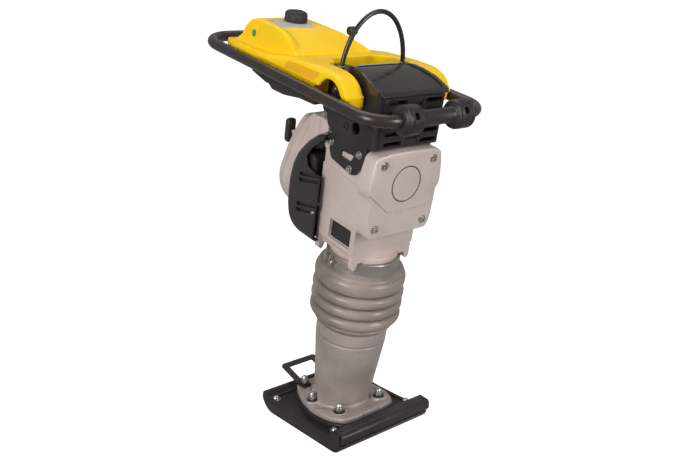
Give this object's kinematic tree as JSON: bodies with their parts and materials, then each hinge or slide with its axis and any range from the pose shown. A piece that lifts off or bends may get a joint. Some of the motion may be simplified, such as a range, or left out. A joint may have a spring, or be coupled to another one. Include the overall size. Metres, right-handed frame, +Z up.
{
  "type": "jumping jack rammer",
  "caption": "Upright trench rammer: a small engine and crank gear lift a sprung leg and shoe, with a bellows, tube handle, front roller and tank.",
  "frame": {"origin": "centre of the sole's flat wear face, on the ground", "axes": "+Z up, -Y forward in the direction the machine travels, +Y to the rear where the operator stands, -X the muffler's side and +X the carburettor's and throttle's side"},
  "size_m": [0.3418, 0.6976, 1.0085],
  "materials": {
    "cast_metal": "sand-cast aluminium, warm grey paint",
    "zinc_steel": "zinc plated",
    "shoe_steel": "dark, scuffed",
    "machined_steel": "oiled, ground",
    "spring_steel": "drawn wire",
    "tank_yellow": "rotomoulded, semi-gloss",
    "black_plastic": "moulded, fine grain",
    "black_paint": "powder coat",
    "grey_rubber": "moulded, satin",
    "shoe_plastic": "moulded, brown black",
    "filter_foam": "pleated paper",
    "rope": "braided",
    "white_ceramic": "glazed"
  },
  "bodies": {
    "leg": {"sole_plate": "shoe_steel", "shoe_body": "shoe_plastic", "shoe_nose_bar": "shoe_steel", "leg_casting": "cast_metal", "foot_nut_1": "zinc_steel", "foot_nut_2": "zinc_steel", "foot_nut_3": "zinc_steel", "foot_nut_4": "zinc_steel", "foot_nut_5": "zinc_steel", "foot_nut_6": "zinc_steel", "foot_bracket": "black_paint", "spring_cylinder": "machined_steel", "cylinder_head": "zinc_steel", "lower_spring": "spring_steel", "upper_spring": "spring_steel", "bellows": "grey_rubber", "lower_clamp_band": "cast_metal"},
    "plunger": {"plunger_rod": "zinc_steel", "plunger_clevis": "machined_steel"},
    "housing": {"gear_case": "cast_metal", "upper_clamp_band": "zinc_steel", "crank_bearing": "zinc_steel", "guide_tube": "machined_steel", "gear_case_cover": "cast_metal", "cover_bolt_1": "zinc_steel", "cover_bolt_2": "zinc_steel", "cover_bolt_3": "zinc_steel", "cover_bolt_4": "zinc_steel", "engine_block": "cast_metal", "engine_cylinder": "cast_metal", "spark_plug": "white_ceramic", "carburettor": "cast_metal", "muffler": "shoe_steel", "muffler_guard": "black_plastic", "fan_shroud": "cast_metal", "starter_housing": "cast_metal", "console_frame": "black_plastic", "air_filter_lid": "black_plastic", "air_filter_element": "filter_foam", "guide_handle": "black_paint", "shock_mount_1": "grey_rubber", "shock_mount_2": "grey_rubber", "shock_mount_3": "grey_rubber", "shock_mount_4": "grey_rubber", "fuel_tank": "tank_yellow", "tank_tray": "black_plastic", "lifting_cable": "machined_steel", "starter_rope": "rope"},
    "crank": {"crank_gear": "machined_steel"},
    "conrod": {"connecting_rod": "machined_steel", "wrist_pin": "zinc_steel"},
    "pinion": {"pinion_shaft": "zinc_steel", "clutch_drum": "machined_steel"},
    "engine_shaft": {"engine_crankshaft": "zinc_steel", "flywheel_fan": "cast_metal"},
    "roller": {"handle_roller": "black_plastic"},
    "cap": {"fuel_cap": "black_plastic"},
    "throttle": {"throttle_lever": "black_plastic"},
    "pulley": {"starter_pulley": "black_plastic"},
    "grip": {"starter_grip": "black_plastic"}
  },
  "joints": [
    {"name": "ram_slide", "type": "slide", "parent": "leg", "child": "housing", "axis": [0, -0.2334, 0.9724], "range_m": [0, 0.062], "deforming": ["bellows"]},
    {"name": "plunger_slide", "type": "slide", "parent": "leg", "child": "plunger", "axis": [0, -0.2334, 0.9724], "range_m": [-0.012, 0.012], "stiffness_N_per_m": 40000, "deforming": ["lower_spring", "upper_spring"]},
    {"name": "crank_spin", "type": "hinge", "parent": "housing", "child": "crank", "pos_m": [0, -0.13348, 0.6476], "axis": [0, 0.9724, 0.2334], "continuous": true},
    {"name": "conrod_swing", "type": "hinge", "parent": "crank", "child": "conrod", "pos_m": [0, -0.13931, 0.67191], "axis": [0, 0.9724, 0.2334], "continuous": true},
    {"name": "pinion_spin", "type": "hinge", "parent": "housing", "child": "pinion", "pos_m": [0, -0.11527, 0.57175], "axis": [0, 0.9724, 0.2334], "continuous": true},
    {"name": "engine_spin", "type": "hinge", "parent": "housing", "child": "engine_shaft", "pos_m": [0, -0.11527, 0.57175], "axis": [0, 0.9724, 0.2334], "continuous": true},
    {"name": "roller_spin", "type": "hinge", "parent": "housing", "child": "roller", "pos_m": [0, -0.31672, 0.78975], "axis": [1, 0, 0], "continuous": true},
    {"name": "fuel_cap_turn", "type": "hinge", "parent": "housing", "child": "cap", "pos_m": [-0.042, 0.09591, 0.97725], "axis": [0, -0.2334, 0.9724], "range_deg": [0, 540]},
    {"name": "throttle_swing", "type": "hinge", "parent": "housing", "child": "throttle", "pos_m": [0.158, 0.13932, 0.92494], "axis": [1, 0, 0], "range_deg": [-35, 35]},
    {"name": "starter_pull", "type": "slide", "parent": "housing", "child": "grip", "axis": [0, 0.9724, 0.2334], "range_m": [0, 0.55], "stiffness_N_per_m": 10, "springref_m": -0.3, "deforming": ["starter_rope"]},
    {"name": "pulley_spin", "type": "hinge", "parent": "housing", "child": "pulley", "pos_m": [0, -0.11527, 0.57175], "axis": [0, 0.9724, 0.2334], "range_deg": [0, 640]}
  ],
  "couplings": [
    {"joint": "conrod_swing", "follows": "crank_spin", "ratio": -1},
    {"joint": "pinion_spin", "follows": "crank_spin", "ratio": -5.5},
    {"joint": "pulley_spin", "follows": "starter_pull", "rad_per_m": 20}
  ]
}
